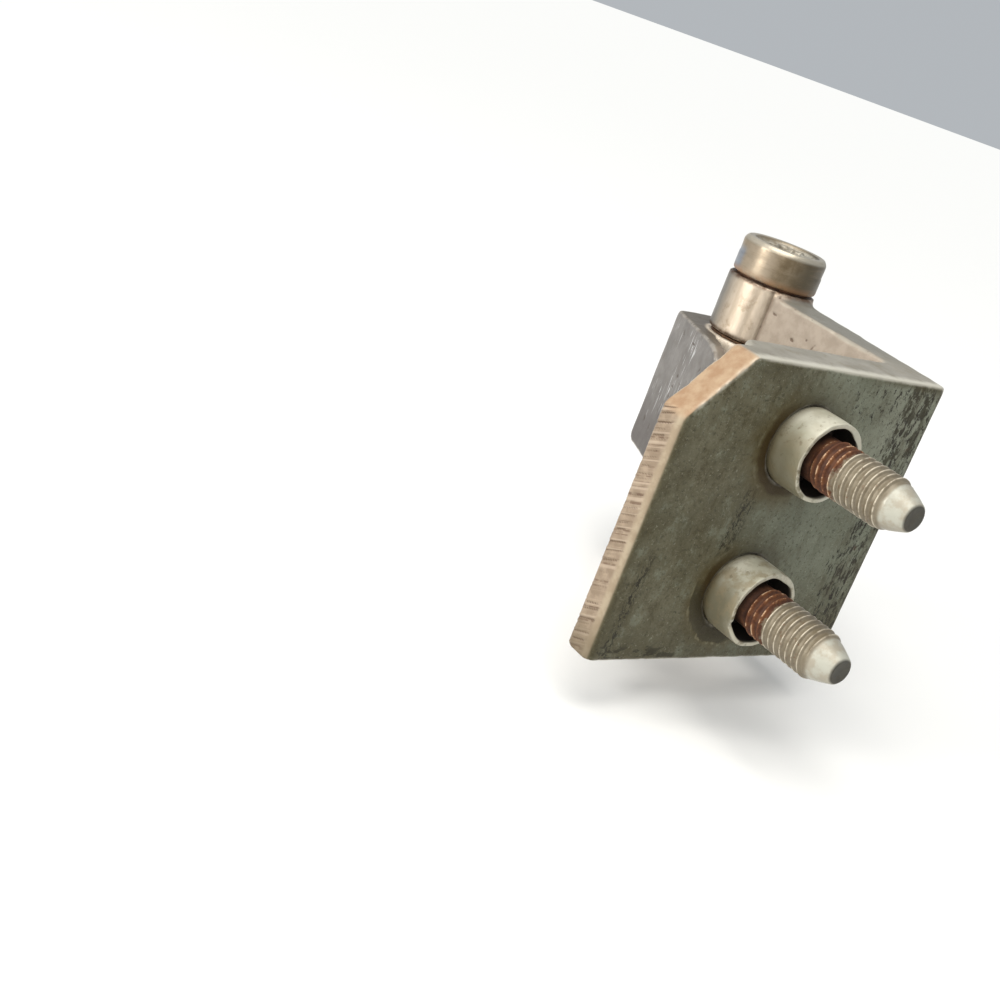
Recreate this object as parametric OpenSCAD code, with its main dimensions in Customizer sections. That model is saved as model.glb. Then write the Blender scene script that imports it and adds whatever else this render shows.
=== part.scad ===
// Forged door hinge with captive mounting bolts.
// Origin: middle of the bolt pair on the mounting face of the body leaf.
// +X runs from the free edge of the plate to the arm, +Y from the mounting face back to the
// hinge pin, and +Z up along the pin.

/* [Stud plate] */
// Width of the stud plate
plate_w = 64.5; // [60:0.5:72]
// Height of the stud plate
plate_h = 60; // [56:1:66]
// Thickness of the plate at its free edge
plate_t = 6.6; // [6:0.1:8]
// Thickness of the raised land under the bolt heads
land_t = 10.6; // [9.5:0.1:12]
// Distance from the free edge to the line of the bolts
bolt_inset = 31; // [29:0.5:34]
// Distance between the two bolts
bolt_pitch = 30; // [28:1:32]
// Cut corner, measured along the top edge
corner_x = 11.4; // [6:0.2:14]
// Cut corner, measured down the free edge
corner_z = 12.5; // [6:0.5:16]

/* [Arm and knuckles] */
// Distance from the bolt line to the pin, across the plate
pin_x = 33; // [32:0.5:34]
// Distance from the mounting face back to the pin
pin_y = 50.5; // [49:0.5:54]
// Outside radius of the knuckles and the barrel
knuckle_r = 9.6; // [9.2:0.1:10]
// Top of the upper knuckle
fork_top = 32; // [31:0.5:34]
// Underside of the lower knuckle
fork_bottom = -31.5; // [-34:0.5:-31]
// Thickness of the arm
arm_t = 11.3; // [10:0.1:12]

/* [Hinge pin] */
// Radius of the pin's shank
pin_r = 4.8; // [4.5:0.1:5]
// Radius of the pin's head
head_r = 9.3; // [8.8:0.1:9.5]
// Height of the pin's head
head_h = 7.8; // [6:0.2:9]
// Length of the pointed tail below the lower knuckle
tail_l = 8; // [6:0.5:9]

/* [Door leaf] */
// Height of the barrel
barrel_h = 35.8; // [34:0.1:36]
// Height of the barrel's middle above the middle of the bolt pair
barrel_z = 0.6; // [0:0.1:1]
// Height of the leg and flange, whose top is level with the barrel's
bracket_h = 32.1; // [30:0.1:33.5]
// Angle between the leg and the arm
leg_angle = 24.3; // [20:0.1:26]
// Thickness of the leg
leg_t = 3.6; // [3:0.1:4]
// Length of the flange from the pin to its far end
flange_l = 46; // [43:0.5:47]
// Thickness of the flange
flange_t = 7.3; // [6.5:0.1:8]
// Bend of the flange's outer part towards the body leaf
flange_bend = 9.4; // [6:0.2:10]

/* [Captive bolts] */
// Radius of the bolt's thread at its crests
bolt_r = 5; // [5:1:5]
// Length of the bolt under its head
bolt_l = 40; // [38:0.5:42]
// Length of the bolt's pointed end
point_l = 4.8; // [4:0.2:6]
// Outside radius of the centring sleeve
sleeve_r = 7.8; // [7.6:0.1:8]
// Height of the sleeve above the mounting face
sleeve_proud = 7.3; // [6:0.1:8]
// Wall of the sleeve
sleeve_wall = 0.9; // [0.8:0.1:1]

/* [Hidden] */
$fn = 72;

plate_left = -bolt_inset;
plate_right = plate_w - bolt_inset;
plate_top = plate_h / 2;
edge_r = 0.8;
bend_r = 1.5;

// Each cutting shape runs this far past the face it cuts.
cut = 1;

// The arm leans outwards from the plate to the knuckles.
arm_front_x = plate_right + 0.6;
arm_back_x = pin_x + 5.3;
arm_back_y = pin_y - 8.5;
arm_inner_x = arm_back_x - arm_t;
arm_fillet_r = 2;
arm_rise = 1;
land_start_x = plate_left + 18;
land_ramp = 3;
knuckle_fillet_r = 4;

// The fork's slot takes the barrel, with a bush flange at each end.
end_gap = 0.7;
barrel_bottom = barrel_z - barrel_h / 2;
barrel_top = barrel_z + barrel_h / 2;
slot_bottom = barrel_bottom - end_gap;
slot_top = barrel_top + end_gap;
slot_clear_r = knuckle_r + 0.8;

head_washer_t = 0.5;
head_washer_r = 8.3;
head_bottom = fork_top + head_washer_t;
head_top = head_bottom + head_h;
head_recess_r = 6.9;
head_recess = 1.1;
socket_r = 3.4;
socket_depth = 3;
tail_tip_r = 2.8;
tail_tip_edge_r = 0.4;
tail_cone_l = 5;
tail_shoulder_r = 1;
head_edge_r = 1.3;
head_foot_r = 0.3;
recess_edge_r = 0.3;
recess_slope = 0.4;

bush_wall = 1.2;
bush_clearance = 0.05;
bush_l = 13;
bush_flange_r = 8.8;
bush_flange_t = 0.55;
bush_r = pin_r + bush_clearance + bush_wall;

// The leg and the flange both run as tangents to the barrel's outside.
leg_out = [-cos(leg_angle), sin(leg_angle)];
leg_dir = [-sin(leg_angle), -cos(leg_angle)];
leg_outer = 13;
leg_inner = leg_outer - leg_t;
leg_end = 22.5;
leg_front_y = pin_y + leg_out.y * leg_outer + leg_dir.y * leg_end;
leg_corner_r = 11;
flange_front = knuckle_r + 0.9;
flange_back = flange_front + flange_t;
flange_bend_x = 24;
flange_bend_r = 12;
flange_end_r = 5;
bracket_corner_r = 3;
bracket_edge_r = 0.8;
door_hole_x = 15.5;
door_hole_pitch = 17;
door_hole_r = 3.4;
bracket_bottom = barrel_top - bracket_h;
bracket_z = barrel_top - bracket_h / 2;

bolt_washer_t = 2;
bolt_washer_r = 10;
bolt_seat_y = land_t + bolt_washer_t;
bolt_tip_y = bolt_seat_y - bolt_l;
bolt_shank_r = bolt_r - 0.5;
bolt_thread_start = -sleeve_proud - 0.7;
bolt_root_r = bolt_r - 0.8;
bolt_point_r = 2.45;
bolt_flange_r = 9.4;
bolt_flange_t = 1.6;
bolt_flange_taper = 0.6;
bolt_head_h = 9;
bolt_head_flats = 13;
bolt_head_inset = 0.3;
bolt_head_cone = 6.3;
sleeve_tail_r = sleeve_r - 0.3;
sleeve_relief = 0.5;
sleeve_seat_y = land_t - 2;
seat_hole_r = 6;
retainer_front_y = -1;
retainer_l = 2.5;
retainer_clearance = 0.1;

function unit(v) = v / norm(v);

// Arc of radius r that rounds the corner b between the points a and c.
function corner_arc(a, b, c, r, steps = 8) =
    let (
        u = unit(a - b),
        v = unit(c - b),
        half = acos(u * v) / 2,
        centre = b + unit(u + v) * r / sin(half),
        first = b + u * r / tan(half) - centre,
        last = b + v * r / tan(half) - centre,
        start = atan2(first.y, first.x),
        sweep = (atan2(last.y, last.x) - start + 540) % 360 - 180
    )
    [for (i = [0:steps]) centre + r * [cos(start + sweep * i / steps), sin(start + sweep * i / steps)]];

// Outline from corners given as [x, y, radius]; a radius of 0 leaves the corner sharp.
function rounded(corners) =
    let (
        n = len(corners),
        at = [for (p = corners) [p.x, p.y]]
    )
    [for (i = [0:n - 1])
        each corners[i].z > 0
            ? corner_arc(at[(i + n - 1) % n], at[i], at[(i + 1) % n], corners[i].z)
            : [at[i]]];

// Prism whose outline lies in the X-Z plane, from y0 to y1.
module along_y(y0, y1) {
    translate([0, y1, 0]) rotate([90, 0, 0]) linear_extrude(y1 - y0) children();
}

// Cylinder on the axis of a bolt, from y0 to y1.
module bolt_cylinder(z, y0, y1, r0, r1) {
    translate([0, y1, z]) rotate([90, 0, 0]) cylinder(h = y1 - y0, r1 = r1, r2 = r0);
}

// Cylinder on the axis of the hinge pin, from z0 to z1.
module pin_cylinder(z0, z1, r) {
    translate([pin_x, pin_y, z0]) cylinder(h = z1 - z0, r = r);
}

module leaf_plan() {
    polygon(rounded([
        [plate_left, 0, edge_r],
        [arm_front_x, 0, bend_r],
        [arm_back_x, arm_back_y, 0],
        [arm_back_x, pin_y, 0],
        [arm_inner_x, pin_y, 0],
        [arm_inner_x, land_t, arm_fillet_r],
        [land_start_x, land_t, bend_r],
        [land_start_x - land_ramp, plate_t, bend_r],
        [plate_left, plate_t, edge_r]
    ]));
}

// Seen from the side the arm grows a little in height towards the knuckles.
module leaf_side() {
    polygon([
        [0, -plate_top],
        [pin_y, -plate_top - arm_rise],
        [pin_y, plate_top + arm_rise],
        [0, plate_top]
    ]);
}

// Fillet between the arm's inner face and a knuckle.
module knuckle_fillet(z0, z1) {
    centre_x = arm_inner_x - knuckle_fillet_r;
    reach = knuckle_r + knuckle_fillet_r;
    centre_y = pin_y - sqrt(reach * reach - (pin_x - centre_x) * (pin_x - centre_x));
    touch = [centre_x, centre_y] + ([pin_x, pin_y] - [centre_x, centre_y]) * knuckle_fillet_r / reach;
    translate([0, 0, z0]) difference() {
        linear_extrude(z1 - z0)
            polygon([[arm_inner_x, centre_y], [(arm_inner_x + pin_x) / 2, centre_y], [pin_x, pin_y], touch]);
        translate([centre_x, centre_y, -cut]) cylinder(h = z1 - z0 + 2 * cut, r = knuckle_fillet_r);
    }
}

module bolt_bores() {
    for (side = [-1, 1]) {
        z = side * bolt_pitch / 2;
        bolt_cylinder(z, -cut, sleeve_relief, sleeve_r, sleeve_r);
        bolt_cylinder(z, -cut, sleeve_seat_y, sleeve_tail_r, sleeve_tail_r);
        bolt_cylinder(z, sleeve_seat_y - cut, land_t + cut, seat_hole_r, seat_hole_r);
    }
}

module body_leaf() {
    color("darkkhaki") difference() {
        union() {
            intersection() {
                union() {
                    translate([0, 0, fork_bottom]) linear_extrude(fork_top - fork_bottom) leaf_plan();
                    knuckle_fillet(fork_bottom, slot_bottom);
                    knuckle_fillet(slot_top, fork_top);
                }
                translate([plate_left, 0, 0]) rotate([90, 0, 90])
                    linear_extrude(arm_back_x - plate_left) leaf_side();
            }
            pin_cylinder(fork_bottom, slot_bottom, knuckle_r);
            pin_cylinder(slot_top, fork_top, knuckle_r);
        }
        along_y(-cut, land_t + cut) polygon([
            [plate_left - cut, plate_top + cut],
            [plate_left - cut, plate_top - corner_z - cut * corner_z / corner_x],
            [plate_left + corner_x + cut * corner_x / corner_z, plate_top + cut]
        ]);
        pin_cylinder(slot_bottom, slot_top, slot_clear_r);
        pin_cylinder(fork_bottom - cut, fork_top + cut, pin_r);
        bolt_bores();
    }
}

// Seen from the side the leg has large corners at its free end and the flange small ones at the back.
module bracket_side() {
    back_y = pin_y + flange_back;
    polygon(rounded([
        [leg_front_y, bracket_bottom, leg_corner_r],
        [back_y, bracket_bottom, bracket_corner_r],
        [back_y, barrel_top, bracket_corner_r / 2],
        [leg_front_y, barrel_top, leg_corner_r]
    ]));
}

module bracket_plan() {
    outer_foot = leg_out * leg_outer;
    inner_foot = leg_out * leg_inner;
    back_run = (outer_foot.y - flange_back) / leg_dir.y;
    bent = [cos(flange_bend), -sin(flange_bend)];
    run = (flange_l - flange_bend_x) / bent.x;
    back_end = [flange_bend_x, flange_back] + bent * run;
    front_end = back_end + [bent.y, -bent.x] * flange_t;
    polygon(rounded([
        [outer_foot.x - leg_dir.x * back_run, flange_back, bracket_corner_r],
        [flange_bend_x, flange_back, flange_bend_r],
        [back_end.x, back_end.y, flange_end_r],
        [front_end.x, front_end.y, bracket_edge_r],
        [flange_bend_x + bent.y * flange_t / 2, flange_front, flange_bend_r],
        [0, flange_front, 0],
        [0, 0, 0],
        [inner_foot.x, inner_foot.y, 0],
        [inner_foot.x + leg_dir.x * leg_end, inner_foot.y + leg_dir.y * leg_end, bracket_edge_r],
        [outer_foot.x + leg_dir.x * leg_end, outer_foot.y + leg_dir.y * leg_end, bracket_edge_r]
    ]));
}

module door_leaf() {
    color("gainsboro") difference() {
        union() {
            intersection() {
                translate([pin_x, pin_y, bracket_bottom]) linear_extrude(bracket_h) bracket_plan();
                rotate([90, 0, 90]) linear_extrude(pin_x + flange_l) bracket_side();
            }
            pin_cylinder(barrel_bottom, barrel_top, knuckle_r);
        }
        pin_cylinder(barrel_bottom - cut, barrel_top + cut, bush_r);
        for (side = [-1, 1])
            translate([
                pin_x + door_hole_x, pin_y + flange_back + cut, bracket_z + side * door_hole_pitch / 2
            ])
                rotate([90, 0, 0]) cylinder(h = flange_t + 2 * cut, r = door_hole_r);
    }
}

module hinge_pin() {
    color("silver") translate([pin_x, pin_y, 0]) difference() {
        rotate_extrude() polygon(rounded([
            [0, fork_bottom - tail_l, 0],
            [tail_tip_r, fork_bottom - tail_l, tail_tip_edge_r],
            [pin_r, fork_bottom - tail_l + tail_cone_l, tail_shoulder_r],
            [pin_r, head_bottom, 0],
            [head_r, head_bottom, head_foot_r],
            [head_r, head_top, head_edge_r],
            [head_recess_r, head_top, recess_edge_r],
            [head_recess_r - recess_slope, head_top - head_recess, 0],
            [0, head_top - head_recess, 0]
        ]));
        translate([0, 0, head_top - head_recess - socket_depth])
            cylinder(h = socket_depth + cut, r = socket_r, $fn = 6);
    }
}

module head_washer() {
    color("saddlebrown") difference() {
        pin_cylinder(fork_top, head_bottom, head_washer_r);
        pin_cylinder(fork_top - cut, head_bottom + cut, pin_r);
    }
}

// Flanged bush in one end of the barrel; dir is 1 for the upper end and -1 for the lower.
module bush(face_z, dir) {
    inner_end = face_z - dir * bush_l;
    flange_face = face_z + dir * bush_flange_t;
    color("darkgoldenrod") difference() {
        union() {
            pin_cylinder(min(face_z, inner_end), max(face_z, inner_end), bush_r);
            pin_cylinder(min(face_z, flange_face), max(face_z, flange_face), bush_flange_r);
        }
        pin_cylinder(face_z - bush_l - cut, face_z + bush_l + cut, pin_r + bush_clearance);
    }
}

module bush_upper() { bush(barrel_top, 1); }
module bush_lower() { bush(barrel_bottom, -1); }

// Thin tube that is pressed into the plate and stands out of it around the bolt.
module sleeve(z) {
    inner_r = sleeve_r - sleeve_wall;
    color("ivory") difference() {
        union() {
            bolt_cylinder(z, -sleeve_proud, 0, sleeve_r, sleeve_r);
            bolt_cylinder(z, -sleeve_proud / 2, sleeve_seat_y, sleeve_tail_r, sleeve_tail_r);
        }
        bolt_cylinder(z, -sleeve_proud - cut, sleeve_seat_y + cut, inner_r, inner_r);
    }
}

module sleeve_upper() { sleeve(bolt_pitch / 2); }
module sleeve_lower() { sleeve(-bolt_pitch / 2); }

// Ring inside the sleeve, too small for the thread to pass, that keeps the loose bolt in the hinge.
module retainer(z) {
    back_y = retainer_front_y + retainer_l;
    outer_r = sleeve_r - sleeve_wall;
    inner_r = bolt_shank_r + retainer_clearance;
    color("dimgray") difference() {
        bolt_cylinder(z, retainer_front_y, back_y, outer_r, outer_r);
        bolt_cylinder(z, retainer_front_y - cut, back_y + cut, inner_r, inner_r);
    }
}

module retainer_upper() { retainer(bolt_pitch / 2); }
module retainer_lower() { retainer(-bolt_pitch / 2); }

// Flanged hexagon bolt with a pointed end, its thread drawn at the crests' diameter.
module bolt(z) {
    thread_end = bolt_tip_y + point_l;
    flange_back_y = bolt_seat_y + bolt_flange_t;
    head_back = bolt_seat_y + bolt_head_h;
    top_r = bolt_head_flats / 2 - bolt_head_inset;
    color("beige") union() {
        bolt_cylinder(z, bolt_tip_y, thread_end, bolt_point_r, bolt_root_r);
        bolt_cylinder(z, thread_end, bolt_thread_start, bolt_r, bolt_r);
        bolt_cylinder(z, bolt_thread_start, bolt_seat_y, bolt_shank_r, bolt_shank_r);
        bolt_cylinder(z, bolt_seat_y, flange_back_y, bolt_flange_r, bolt_flange_r - bolt_flange_taper);
        intersection() {
            translate([0, head_back, z]) rotate([90, 30, 0])
                cylinder(h = bolt_head_h, r = bolt_head_flats / sqrt(3), $fn = 6);
            bolt_cylinder(z, bolt_seat_y, head_back, top_r + bolt_head_cone, top_r);
        }
    }
}

module bolt_upper() { bolt(bolt_pitch / 2); }
module bolt_lower() { bolt(-bolt_pitch / 2); }

module bolt_washer(z) {
    color("lightgray") difference() {
        bolt_cylinder(z, land_t, bolt_seat_y, bolt_washer_r, bolt_washer_r);
        bolt_cylinder(z, land_t - cut, bolt_seat_y + cut, bolt_shank_r, bolt_shank_r);
    }
}

module bolt_washer_upper() { bolt_washer(bolt_pitch / 2); }
module bolt_washer_lower() { bolt_washer(-bolt_pitch / 2); }

body_leaf();
door_leaf();
hinge_pin();
head_washer();
bush_upper();
bush_lower();
sleeve_upper();
sleeve_lower();
retainer_upper();
retainer_lower();
bolt_upper();
bolt_lower();
bolt_washer_upper();
bolt_washer_lower();
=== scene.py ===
"""A worn car door hinge: a forged stud plate with a fork, a door leaf on a headed pin, and two bolts.

The shape code works in millimetres in the part's own frame: +X runs across the plate to the arm, +Y
back from the mounting face to the pin, and +Z up along the pin. Meshes are turned into metres when
they are made.
"""

import math
import random

import bmesh
import bpy
import numpy as np
from mathutils import Matrix, Vector, noise


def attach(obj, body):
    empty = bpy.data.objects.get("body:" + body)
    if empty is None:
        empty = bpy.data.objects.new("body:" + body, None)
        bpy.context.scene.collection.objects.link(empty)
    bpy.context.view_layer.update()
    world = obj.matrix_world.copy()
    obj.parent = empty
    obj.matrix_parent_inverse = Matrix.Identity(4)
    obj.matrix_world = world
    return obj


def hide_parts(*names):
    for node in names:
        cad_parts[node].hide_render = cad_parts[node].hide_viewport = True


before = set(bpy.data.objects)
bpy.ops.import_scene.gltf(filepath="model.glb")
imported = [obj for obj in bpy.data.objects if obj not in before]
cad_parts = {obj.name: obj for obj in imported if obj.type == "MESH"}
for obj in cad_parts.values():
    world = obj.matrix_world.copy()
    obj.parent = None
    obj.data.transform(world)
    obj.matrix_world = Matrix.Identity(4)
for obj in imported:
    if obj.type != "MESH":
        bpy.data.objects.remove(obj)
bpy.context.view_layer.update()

MM = 0.001

# Sizes repeated from the part, in millimetres.
PIN_X = 33.0
PIN_Y = 50.5
KNUCKLE_R = 9.6
FORK_TOP = 32.0
FORK_BOTTOM = -31.5
SLOT_TOP = 19.2
SLOT_BOTTOM = -18.0
PLATE_LEFT = -31.0
LAND_Y = 10.6
BOLT_HEIGHTS = {"upper": 15.0, "lower": -15.0}
PITCH = 1.5
THREAD_START = -7.8
THREAD_END = -23.6
BOLT_TIP = -27.4
SEAT = 12.6
THREAD_LOW = BOLT_TIP + 0.35
THREAD_HIGH = THREAD_START + 0.9
HEAD_LOW = SEAT + 2.6
HEAD_HIGH = SEAT + 8.97
SHANK_R = 4.45
FLATS_R = 6.45
SLEEVE_R = 7.8
SLEEVE_BORE_R = 6.9
SLEEVE_RIM_Y = -7.3
PIN_R = 4.75
BUSH_BORE_R = 4.87
LEG_ANGLE = math.radians(24.3)
LEG_OUT = np.array([-math.cos(LEG_ANGLE), math.sin(LEG_ANGLE), 0.0])
LEG_FRONT_Y = 35.3
LEG_CORNER_R = 11.0
BRACKET_H = 32.1
BRACKET_MIDDLE = 2.45
BRACKET_TOP = BRACKET_MIDDLE + BRACKET_H / 2

# Sizes of the wear, in millimetres.
# Grooves along the knuckle's fillet: x, y, width and depth.
FILLET_LINES = [(24.7, 45.7, 0.8, 0.12), (26.5, 43.1, 0.4, 0.45)]
# How far a saw mark drops in Z for each millimetre of Y.
SAW_LEAN = 0.41


# ---------------- mesh helpers


def smoothstep(values, low, high):
    """0 below low, 1 above high, and smooth between them; low may be the greater."""
    t = np.clip((np.asarray(values, float) - low) / (high - low), 0.0, 1.0)
    return t * t * (3.0 - 2.0 * t)


def noise_at(points, size, seed=0.0):
    """Perlin noise from -1 to 1 with features of that size in millimetres."""
    offset = Vector((seed * 17.3, seed * 5.1, seed * 9.7))
    return np.array([noise.noise(Vector(p) / size + offset) for p in points])


def add_object(name, mesh):
    piece = bpy.data.objects.new(name, mesh)
    bpy.context.scene.collection.objects.link(piece)
    return piece


def mesh_from(name, points, faces):
    """A smooth-shaded mesh from points in millimetres."""
    mesh = bpy.data.meshes.new(name)
    mesh.from_pydata([tuple(p) for p in np.asarray(points) * MM], [], faces)
    mesh.update()
    mesh.shade_smooth()
    return mesh


def points_of(mesh):
    values = np.zeros(len(mesh.vertices) * 3)
    mesh.vertices.foreach_get("co", values)
    return values.reshape(-1, 3) / MM


def normals_of(mesh):
    values = np.zeros(len(mesh.vertices) * 3)
    mesh.vertices.foreach_get("normal", values)
    return values.reshape(-1, 3)


def move_to(mesh, points):
    mesh.vertices.foreach_set("co", (np.asarray(points) * MM).ravel())
    mesh.update()


def store(mesh, name, values):
    """Keeps one number per vertex for the material."""
    attribute = mesh.attributes.new(name, "FLOAT", "POINT")
    attribute.data.foreach_set("value", np.asarray(values, np.float32))


def store_softly(mesh, pairs, **shares):
    """Keeps each share, from 0 to 1, under its name, blurred a little."""
    for name, share in shares.items():
        store(mesh, name, blurred(share, pairs, 1))


def edge_pairs(mesh):
    pairs = np.zeros(len(mesh.edges) * 2, int)
    mesh.edges.foreach_get("vertices", pairs)
    return pairs.reshape(-1, 2)


def blurred(values, pairs, rounds, amount=0.5):
    """Averages each vertex's values with its neighbours', some rounds over."""
    values = np.asarray(values, float)
    flat = values.ndim == 1
    if flat:
        values = values[:, None]
    count = len(values)
    ends = np.concatenate([pairs[:, 0], pairs[:, 1]])
    others = np.concatenate([pairs[:, 1], pairs[:, 0]])
    degree = np.maximum(np.bincount(ends, minlength=count), 1)[:, None]
    strength = amount if np.isscalar(amount) else np.asarray(amount)[:, None]
    for _ in range(rounds):
        columns = [np.bincount(ends, column[others], count) for column in values.T]
        values = values + strength * (np.stack(columns, 1) / degree - values)
    return values[:, 0] if flat else values


def reach_from_pin(points):
    """Each point's distance from the pin's axis."""
    return np.hypot(points[:, 0] - PIN_X, points[:, 1] - PIN_Y)


def forged_mesh(node, voxel, rounds, crisp_reach):
    """The CAD node's shape with its edges rounded as on a forging.

    The machined edges within crisp_reach of the pin's axis stay crisper. The attribute "edge" is above
    0 on edges that stand out and below 0 in corners.
    """
    source = bmesh.new()
    source.from_mesh(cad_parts[node].data)
    bmesh.ops.remove_doubles(source, verts=source.verts, dist=1e-6)
    rough = bpy.data.meshes.new(node)
    source.to_mesh(rough)
    source.free()
    helper = add_object(node + "_remesh", rough)
    modifier = helper.modifiers.new("remesh", "REMESH")
    modifier.mode = "VOXEL"
    modifier.voxel_size = voxel * MM
    graph = bpy.context.evaluated_depsgraph_get()
    mesh = bpy.data.meshes.new_from_object(helper.evaluated_get(graph))
    bpy.data.objects.remove(helper)
    mesh.materials.clear()
    mesh.shade_smooth()

    pairs = edge_pairs(mesh)
    sharp = points_of(mesh)
    crisp = smoothstep(reach_from_pin(sharp), crisp_reach, 9.4)
    soft = blurred(sharp, pairs, rounds, 0.5 * (1.0 - 0.6 * crisp))
    move_to(mesh, soft)
    edge = np.sum((sharp - soft) * normals_of(mesh), 1)
    store(mesh, "edge", blurred(edge, pairs, 2))
    return mesh


def refined(mesh, chosen):
    """Splits the faces among the chosen vertices in four, for finer relief."""
    fine = bmesh.new()
    fine.from_mesh(mesh)
    edges = [e for e in fine.edges if chosen[e.verts[0].index] and chosen[e.verts[1].index]]
    bmesh.ops.subdivide_edges(fine, edges=edges, cuts=1, use_grid_fill=True)
    fine.to_mesh(mesh)
    fine.free()
    mesh.shade_smooth()


def facing_out(mesh):
    """The same closed mesh with every face turned outwards."""
    solid = bmesh.new()
    solid.from_mesh(mesh)
    bmesh.ops.recalc_face_normals(solid, faces=solid.faces)
    solid.to_mesh(mesh)
    solid.free()
    return mesh


def revolved(name, profile, segments, place, shape=None):
    """A closed body of revolution from (radius, height) pairs.

    The profile runs from one end to the other. A radius of 0 makes a single point on the axis. place
    turns (x, y, height) into the part's frame, and shape(radius, angle, height) may return a new radius
    and height for each point.
    """
    points = []
    rings = []
    for radius, height in profile:
        count = 1 if radius == 0 else segments
        rings.append(list(range(len(points), len(points) + count)))
        for i in range(count):
            angle = 2 * math.pi * i / segments
            r, h = (radius, height) if shape is None or radius == 0 else shape(radius, angle, height)
            points.append(place(r * math.cos(angle), r * math.sin(angle), h))
    if profile[0] == profile[-1]:
        points = points[: rings[-1][0]]
        rings[-1] = rings[0]
    faces = []
    for low, high in zip(rings, rings[1:]):
        for i in range(segments):
            j = (i + 1) % segments
            if len(low) == 1:
                faces.append((low[0], high[j], high[i]))
            elif len(high) == 1:
                faces.append((low[i], low[j], high[0]))
            else:
                faces.append((low[i], low[j], high[j], high[i]))
    return facing_out(mesh_from(name, points, faces))


def softened(corners, radius, steps=4):
    """The same profile with its inner corners rounded off and its long runs divided."""
    path = [corners[0]]
    for before, corner, after in zip(corners, corners[1:], corners[2:]):
        at = Vector(corner)
        back = Vector(before) - at
        ahead = Vector(after) - at
        start = at + back.normalized() * min(radius, back.length * 0.45)
        end = at + ahead.normalized() * min(radius, ahead.length * 0.45)
        for i in range(steps + 1):
            t = i / steps
            path.append(tuple(start.lerp(at, t).lerp(at.lerp(end, t), t)))
    path.append(corners[-1])
    return path


def divided(profile, longest):
    """Adds points to a profile so that no run is longer than that."""
    result = [tuple(profile[0])]
    for start, end in zip(profile, profile[1:]):
        parts = max(1, math.ceil(math.dist(start, end) / longest))
        for i in range(1, parts + 1):
            t = i / parts
            result.append((start[0] + (end[0] - start[0]) * t, start[1] + (end[1] - start[1]) * t))
    return result


def on_pin(x, y, height):
    return (PIN_X + x, PIN_Y + y, height)


def on_bolt(z):
    """Heights along a bolt are its Y, and angles start at +X and turn towards +Z."""
    return lambda x, y, height: (x, height, z + y)


def finish_piece(mesh, kind, node, body, material):
    """Adds the piece that stands for the node, named after both its kind and the node."""
    piece = add_object(kind + "_" + node, mesh)
    piece.data.materials.append(material)
    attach(piece, body)
    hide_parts(node)


# ---------------- material helpers


def srgb(red, green, blue):
    """A linear colour from 0 to 255 display values."""
    channels = []
    for value in (red, green, blue):
        c = value / 255
        channels.append(c / 12.92 if c <= 0.04045 else ((c + 0.055) / 1.055) ** 2.4)
    return (*channels, 1.0)


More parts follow.
